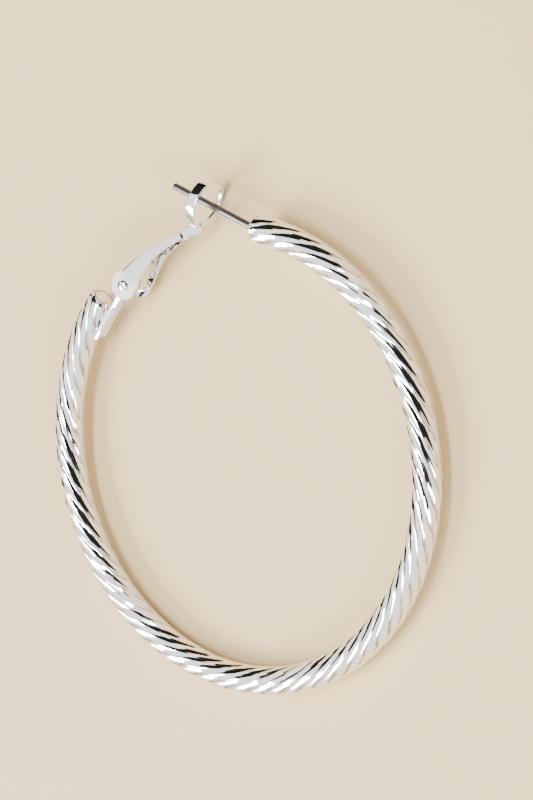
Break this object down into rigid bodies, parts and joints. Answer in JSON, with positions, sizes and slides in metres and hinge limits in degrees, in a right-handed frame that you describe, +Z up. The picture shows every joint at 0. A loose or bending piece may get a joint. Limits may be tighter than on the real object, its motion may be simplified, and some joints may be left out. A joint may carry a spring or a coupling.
{
  "type": "hoop earring",
  "caption": "Large twisted, fluted tube hoop earring with a straight ear post and a hinged lever whose ring closes over the post.",
  "frame": {"origin": "middle of the earring's box on the surface it lies on", "axes": "+Z up out of the lying hoop's plane, +Y toward the gap with the clasp, +X toward the ear post's end of the tube"},
  "size_m": [0.05, 0.0534, 0.0049],
  "materials": {
    "polished_silver": "polished",
    "post_steel": "drawn wire, satin",
    "spring_steel": "satin"
  },
  "bodies": {
    "hoop": {"hoop_tube": "polished_silver", "hinge_bracket": "polished_silver", "ear_post": "post_steel", "hinge_rivet": "polished_silver"},
    "lever": {"clasp_lever": "polished_silver", "spring_leaf": "spring_steel"}
  },
  "joints": [
    {"name": "lever_hinge", "type": "hinge", "parent": "hoop", "child": "lever", "pos_m": [-0.0068, 0.01903, 0.00233], "axis": [-0.0046, -0.0192, 0.9998], "range_deg": [0, 95]}
  ]
}
